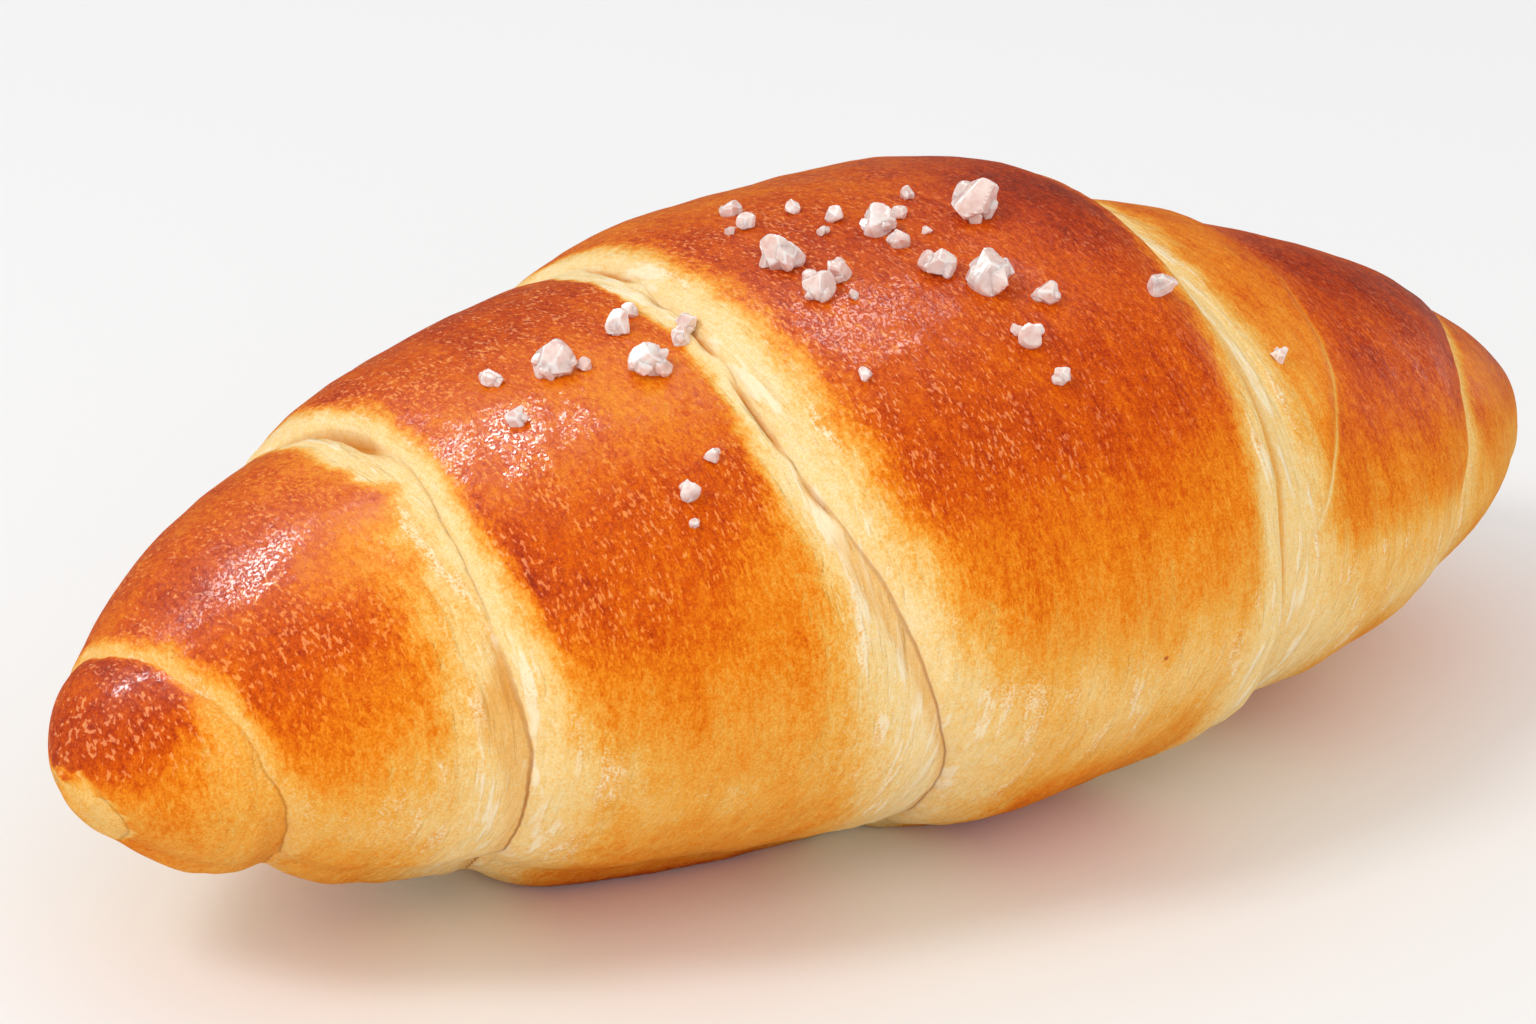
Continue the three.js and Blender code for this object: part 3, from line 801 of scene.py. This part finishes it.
def crust_finish():
    """Baked skin: a brown level from the crust's attributes and noises of
    several sizes, turned to colour, with painted highlight flecks and glints,
    painted shade in the creases, slits and sunken strips, gloss and fine blisters."""
    f = Finish("crust")
    blotch = f.noise(8.0, 2, 0.5)
    mottle = f.noise(2.6, 3, 0.55, stretch=(1.0, 0.35, 0.35))
    fleck = f.noise(0.4, 2, 0.6, stretch=(1.0, 0.45, 0.45))
    speck = f.noise(0.2, 1, 0.6)
    streak = f.noise(1.3, 3, 0.6, stretch=(1.0, 0.16, 0.16))
    # Painted highlight: small pale flecks where the gloss would catch tiny blisters; they lighten
    # the level below and take a share of the painted glint colour.
    light = f.math("MULTIPLY_ADD", mottle, 0.45, f.noise(0.26, 1, 0.5, stretch=(1.0, 0.4, 0.4)))
    light = f.math("MULTIPLY", f.ease(light, 0.09, 0.20), f.attribute("highlight_fleck_share"))
    bake, border, strip = f.attribute("bake"), f.attribute("border"), f.attribute("strip")
    torn = f.math("MULTIPLY_ADD", mottle, 0.8, border)
    torn = f.math("MULTIPLY_ADD", fleck, 0.8, torn)
    torn = f.math("MULTIPLY_ADD", streak, 0.6, torn)
    brown = f.ease(torn, -1.1, 1.5)
    level = f.math("MULTIPLY_ADD", blotch, 0.22, bake)
    level = f.math("MULTIPLY_ADD", mottle, 0.26, level)
    share = f.math("SUBTRACT", level, strip)
    level = f.math("MULTIPLY_ADD", share, brown, strip)
    lively = f.ease(level, 0.3, 0.65, 0.14, 0.40)
    level = f.math("MULTIPLY_ADD", streak, 0.20, level)
    level = f.math("ADD", f.math("MULTIPLY", fleck, lively), level)
    level = f.math("MULTIPLY_ADD", speck, 0.34, level)
    level = f.math("MULTIPLY_ADD", light, f.ease(level, 0.4, 0.8, -0.02, -0.18), level, clamp=True)
    colour = f.ramp(level, BAKE_COLOURS)
    # Painted glints on the brown skin.
    glint = f.math("MULTIPLY", light, f.ease(bake, 0.6, 0.8, 0.0, 0.22))
    colour = f.mix(glint, colour, PAINTED_GLINT_COLOUR)
    seam, pocket = f.attribute("seam"), f.attribute("pocket")
    flake = f.math("MULTIPLY", f.ease(streak, 0.04, 0.14), f.ease(level, 0.36, 0.18, 0.0, 0.75))
    colour = f.mix(flake, colour, FLAKE_COLOUR)
    # Painted shade: a thin dark stroke just off each lip's edge, in the crease's shadow.
    edge = f.math("MULTIPLY", f.ease(seam, -0.26, -0.06), f.ease(seam, 0.08, -0.02))
    # Painted shade: the sunken strips beside the lips are multiplied darker and tan.
    colour = f.mix(f.attribute("recess_shade"), colour, RECESS_SHADE_COLOUR, "MULTIPLY")
    # The slits: the dough's golden tan, partly painted shade.
    colour = f.mix(pocket, colour, SLIT_DOUGH_AND_SHADE_COLOUR)
    colour = f.mix(f.math("MULTIPLY", edge, f.attribute("line")), colour, GROOVE_SHADE_COLOUR)
    colour = f.mix(f.spot(*CHAR_SPOT), colour, CHAR_COLOUR)
    dark = f.ease(level, 0.35, 0.75)
    roughness = f.math("MULTIPLY_ADD", speck, 0.25, f.math("MULTIPLY_ADD", dark, -0.12, 0.56))
    swell = f.bump(f.noise(1.6, 2, 0.5), 0.11)
    grit = f.noise(0.3, 2, 0.6)
    glaze = f.bump(f.noise(0.7, 2, 0.5), 0.03, under=swell)
    glaze = f.bump(f.ease(grit, -0.12, 0.04), 0.06, under=glaze)
    wrinkle = f.math("MULTIPLY", streak, f.ease(level, 0.6, 0.2))
    normal = f.bump(wrinkle, 0.7, under=f.bump(fleck, 0.10, under=swell))
    open_grit = f.ease(grit, -0.05, 0.07, 0.12, 0.75)
    weight = f.math("MULTIPLY_ADD", f.attribute("glaze"), open_grit, 0.06)
    f.set(base_color=colour, roughness=roughness, normal=normal, ior=1.4, specular_ior_level=0.08,
          coat_weight=f.math("MULTIPLY_ADD", dark, weight, 0.02), coat_roughness=0.08,
          coat_ior=1.5, subsurface_weight=0.06, subsurface_scale=0.0015)
    f.shader.inputs["Subsurface Radius"].default_value = (1.0, 0.45, 0.2)
    f.link(glaze, f.shader.inputs["Coat Normal"])
    return f.material


def salt_finish():
    """Coarse salt: cloudy white with a pink tint that is painted light from the
    crust under it; paler along the crystals' edges, partly their own whiter edges and partly
    painted sheen.
    """
    f = Finish("salt")
    cloud = f.noise(0.8, 2, 0.5)
    colour = f.mix(f.ease(cloud, -0.2, 0.2), SALT_CLOUDY_PINK_LIT, SALT_CLEAR_PINK_LIT)
    # Paler rims: partly the crystals' own whiter edges, partly painted sheen.
    colour = f.mix(f.ease(f.attribute("rim"), 0.3, 0.9, 0.0, 0.85), colour, SALT_RIM_WHITE_AND_SHEEN)
    normal = f.bump(f.noise(0.5, 2, 0.6), 0.06)
    f.set(base_color=colour, roughness=0.18, normal=normal, ior=1.5,
          subsurface_weight=0.3, subsurface_scale=0.001)
    f.shader.inputs["Subsurface Radius"].default_value = (1.0, 0.75, 0.65)
    return f.material


def floor_finish():
    """A pale plain floor; the crust's gloss mirrors it dimmer than it is, like
    the studio."""
    f = Finish("pale_floor")
    rays = f.nodes.new("ShaderNodeLightPath")
    colour = f.ease(rays.outputs["Is Glossy Ray"], 0.0, 1.0, FLOOR_SEEN, FLOOR_MIRRORED)
    f.set(base_color=colour, roughness=0.8, specular_ior_level=0.0)
    return f.material


# ---- the pieces ------------------------------------------------------------
crust = make_crust(crust_finish())
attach(crust, "root")
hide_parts("roll")

salt = make_salt(salt_finish())
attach(salt, "root")

# ---- floor, light and camera -----------------------------------------------
FLOOR_HALF = 3000.0
floor = mesh_object("floor", np.array([
    [-FLOOR_HALF, -FLOOR_HALF, 0], [FLOOR_HALF, -FLOOR_HALF, 0],
    [FLOOR_HALF, FLOOR_HALF, 0], [-FLOOR_HALF, FLOOR_HALF, 0]]), [[0, 1, 2, 3]], floor_finish())

scene = bpy.context.scene
scene.view_settings.view_transform = "Standard"


def make_studio(bright, mirrored):
    """A plain white studio.  What the gloss mirrors of it is dimmer than what
    lights the roll, as with screens that keep glare off a glossy crust."""
    world = bpy.data.worlds.new("studio")
    world.use_nodes = True
    nodes, links = world.node_tree.nodes, world.node_tree.links
    rays = nodes.new("ShaderNodeLightPath")
    dim = nodes.new("ShaderNodeMapRange")
    dim.inputs["To Min"].default_value = bright
    dim.inputs["To Max"].default_value = mirrored
    links.new(rays.outputs["Is Glossy Ray"], dim.inputs["Value"])
    links.new(dim.outputs["Result"], nodes["Background"].inputs["Strength"])
    nodes["Background"].inputs["Color"].default_value = (1.0, 1.0, 1.0, 1)
    return world


scene.world = make_studio(bright=0.82, mirrored=0.12)


def softbox(name, azimuth, elevation, away_mm, side_mm, brightness):
    """A square soft light that faces the roll's middle; brightness is its
    radiance."""
    light = bpy.data.lights.new(name, "AREA")
    light.shape = "SQUARE"
    light.size = side_mm * MM
    light.energy = brightness * math.pi * (side_mm * MM) ** 2
    lamp = bpy.data.objects.new(name, light)
    scene.collection.objects.link(lamp)
    az, el = math.radians(azimuth), math.radians(elevation)
    way = Vector((math.cos(el) * math.cos(az), math.cos(el) * math.sin(az), math.sin(el)))
    lamp.matrix_world = Matrix.Translation(Vector((0, 0, 0.03)) + way * away_mm * MM) @ \
        way.to_track_quat("Z", "Y").to_matrix().to_4x4()
    return lamp


# The sheen is made by small boxes that only the gloss sees, the shading by one
# wide box from the upper left that the gloss doesn't see.  Gloss boxes: [name,
# azimuth, elevation, side in mm, brightness].
GLOSS_BOXES = [
    ("gloss_shoulder", 112, 43, 180, 24.0), ("gloss_middle", 87, 57, 160, 27.0),
    ("gloss_crown", 47, 58, 160, 12.0), ("gloss_tip", 127, 32, 120, 28.0),
    ("gloss_small", 106, 68, 60, 60.0), ("gloss_right", 14, 6, 160, 2.8),
]
GLOSS_AWAY = 700
for name, azimuth, elevation, side, brightness in GLOSS_BOXES:
    lamp = softbox(name, azimuth, elevation, GLOSS_AWAY, side, brightness)
    lamp.visible_diffuse = False
shading = softbox("shading", 178, 50, 900, 240, 11.0)
shading.visible_glossy = False
front = softbox("front", -105, 35, 900, 700, 0.6)
front.visible_glossy = False

# The photo's viewing angle: degrees from +Y towards +X, degrees down from
# level, and the rest in millimetres.
CAMERA = dict(heading=33.837, down=23.553, away=400.0, target=(-7.728, 0.0, 25.335), lens=112.59)
heading, tilt = math.radians(CAMERA["heading"]), math.radians(CAMERA["down"])
look = Vector((math.sin(heading) * math.cos(tilt), math.cos(heading) * math.cos(tilt),
               -math.sin(tilt)))
camera_data = bpy.data.cameras.new("camera")
camera_data.lens = CAMERA["lens"]
camera_data.sensor_width = 36
camera_data.sensor_fit = "HORIZONTAL"
camera_data.clip_start = 0.01
camera = bpy.data.objects.new("camera", camera_data)
scene.collection.objects.link(camera)
eye = (Vector(CAMERA["target"]) - look * CAMERA["away"]) * MM
camera.matrix_world = Matrix.Translation(eye) @ \
    (-look).to_track_quat("Z", "Y").to_matrix().to_4x4()
scene.camera = camera

bpy.context.view_layer.update()
